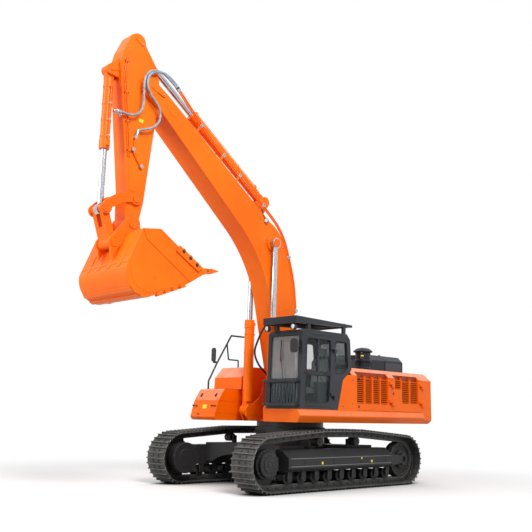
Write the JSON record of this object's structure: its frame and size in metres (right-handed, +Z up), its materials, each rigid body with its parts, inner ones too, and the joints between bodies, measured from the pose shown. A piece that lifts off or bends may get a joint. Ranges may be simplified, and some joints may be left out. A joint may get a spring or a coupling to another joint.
{
  "type": "crawler excavator",
  "caption": "Crawler excavator with a gooseneck boom, arm and toothed bucket raised over a slewing upper structure with a guarded cab, on steel tracks; it digs and loads soil.",
  "frame": {"origin": "centre of the bounding box's base, on the ground", "axes": "+X forward (digging front), +Y to the cab side, +Z up"},
  "size_m": [9.1852, 3.34, 9.0654],
  "materials": {
    "orange_paint": "semi gloss, worn",
    "black_paint": "satin",
    "dark_steel": "worn, matt",
    "chrome_rod": "polished",
    "window_glass": "tinted, clear",
    "black_plastic": "matt",
    "seat_cloth": "woven"
  },
  "bodies": {
    "undercarriage": {"lower_frame": "black_paint", "frame_legs": "black_paint", "track_frames": "black_paint", "track_left": "dark_steel", "track_right": "dark_steel", "sprockets": "dark_steel", "idlers": "dark_steel", "bottom_rollers": "dark_steel", "carrier_rollers": "dark_steel", "swing_bearing": "black_paint"},
    "upper": {"main_frame": "orange_paint", "left_deck": "orange_paint", "right_deck": "orange_paint", "counterweight": "orange_paint", "engine": "black_paint", "top_deck": "orange_paint", "left_panel": "orange_paint", "tanks": "orange_paint", "tool_box": "orange_paint", "stack": "black_paint", "cab_shell": "black_paint", "cab_glass": "window_glass", "roof_guard": "black_paint", "front_guard": "black_paint", "chair": "seat_cloth", "console": "black_plastic", "handrails": "black_paint", "mirrors": "black_plastic", "lamps": "black_plastic"},
    "boom": {"boom": "orange_paint"},
    "arm": {"arm": "orange_paint"},
    "bucket": {"bucket": "orange_paint", "teeth": "dark_steel"},
    "rocker": {"rocker": "orange_paint"},
    "push_link": {"push_link": "orange_paint"},
    "boom_cylinder_barrel": {"boom_barrels": "orange_paint"},
    "boom_cylinder_rod": {"boom_rods": "chrome_rod"},
    "arm_cylinder_barrel": {"arm_barrel": "orange_paint"},
    "arm_cylinder_rod": {"arm_rod": "chrome_rod"},
    "bucket_cylinder_barrel": {"bucket_barrel": "orange_paint"},
    "bucket_cylinder_rod": {"bucket_rod": "chrome_rod"},
    "cab_door": {"cab_door": "black_paint", "cab_door_glass": "window_glass"},
    "door_left_front": {"door_left_front": "orange_paint"},
    "door_left_rear": {"door_left_rear": "orange_paint"},
    "door_right": {"door_right": "orange_paint"},
    "hood": {"hood": "black_paint"}
  },
  "joints": [
    {"name": "swing", "type": "hinge", "parent": "undercarriage", "child": "upper", "pos_m": [-0.845, 0, 1.37], "axis": [0, 0, 1], "continuous": true},
    {"name": "boom_lift", "type": "hinge", "parent": "upper", "child": "boom", "pos_m": [-0.545, 0, 2.24], "axis": [0, -1, 0], "range_deg": [-99, 5]},
    {"name": "arm_crowd", "type": "hinge", "parent": "boom", "child": "arm", "pos_m": [3.62502, 0, 7.99009], "axis": [0, 1, 0], "range_deg": [-108, 6.8]},
    {"name": "bucket_curl", "type": "hinge", "parent": "arm", "child": "bucket", "pos_m": [3.87495, 0, 5.0808], "axis": [0, -1, 0], "range_deg": [-45, 100]},
    {"name": "boom_cylinder_barrel_swing", "type": "hinge", "parent": "upper", "child": "boom_cylinder_barrel", "pos_m": [0.165, 0, 1.6], "axis": [0, -1, 0], "range_deg": [-103.55, 5.51]},
    {"name": "boom_cylinder_rod_slide", "type": "slide", "parent": "boom_cylinder_barrel", "child": "boom_cylinder_rod", "axis": [-0.0132, 0, 0.9999], "range_m": [-1.43945, 0.0746]},
    {"name": "arm_cylinder_barrel_swing", "type": "hinge", "parent": "boom", "child": "arm_cylinder_barrel", "pos_m": [0.20484, 0, 6.32977], "axis": [0, -1, 0], "range_deg": [-0.75, 0.33]},
    {"name": "arm_cylinder_rod_slide", "type": "slide", "parent": "arm_cylinder_barrel", "child": "arm_cylinder_rod", "axis": [0.8231, 0, 0.568], "range_m": [-1.55545, 0.09981]},
    {"name": "bucket_cylinder_barrel_swing", "type": "hinge", "parent": "arm", "child": "bucket_cylinder_barrel", "pos_m": [4.47029, 0, 8.13999], "axis": [0, -1, 0], "range_deg": [-0.6, 1]},
    {"name": "bucket_cylinder_rod_slide", "type": "slide", "parent": "bucket_cylinder_barrel", "child": "bucket_cylinder_rod", "axis": [0.0017, 0, -1], "range_m": [-0.842, 0.38]},
    {"name": "rocker_swing", "type": "hinge", "parent": "arm", "child": "rocker", "pos_m": [3.82031, 0, 5.60003], "axis": [0, -1, 0], "range_deg": [-35.29, 78.05]},
    {"name": "push_link_swing", "type": "hinge", "parent": "bucket", "child": "push_link", "pos_m": [4.25979, 0, 4.65518], "axis": [0, -1, 0], "range_deg": [-78.3, 35.4]},
    {"name": "cab_door_swing", "type": "hinge", "parent": "upper", "child": "cab_door", "pos_m": [-0.62, 1.528, 2.4], "axis": [0, 0, 1], "range_deg": [0, 165]},
    {"name": "left_front_door_swing", "type": "hinge", "parent": "upper", "child": "door_left_front", "pos_m": [-2.695, 1.528, 2], "axis": [0, 0, 1], "range_deg": [0, 95]},
    {"name": "left_rear_door_swing", "type": "hinge", "parent": "upper", "child": "door_left_rear", "pos_m": [-3.905, 1.528, 2], "axis": [0, 0, 1], "range_deg": [0, 95]},
    {"name": "right_door_swing", "type": "hinge", "parent": "upper", "child": "door_right", "pos_m": [-3.905, -1.528, 2], "axis": [0, 0, -1], "range_deg": [0, 95]},
    {"name": "hood_lift", "type": "hinge", "parent": "upper", "child": "hood", "pos_m": [-3.925, 0, 2.61], "axis": [0, -1, 0], "range_deg": [0, 60]}
  ],
  "couplings": [
    {"joint": "boom_cylinder_barrel_swing", "follows": "boom_lift", "ratio": 1.0429},
    {"joint": "boom_cylinder_rod_slide", "follows": "boom_lift", "m_per_rad": 0.83191},
    {"joint": "arm_cylinder_barrel_swing", "follows": "arm_crowd", "ratio": 0.004162},
    {"joint": "arm_cylinder_rod_slide", "follows": "arm_crowd", "m_per_rad": 0.82413},
    {"joint": "bucket_cylinder_barrel_swing", "follows": "bucket_curl", "ratio": 0.0075},
    {"joint": "bucket_cylinder_rod_slide", "follows": "bucket_curl", "m_per_rad": -0.48129},
    {"joint": "rocker_swing", "follows": "bucket_curl", "ratio": 0.7775},
    {"joint": "push_link_swing", "follows": "bucket_curl", "ratio": -0.78}
  ]
}
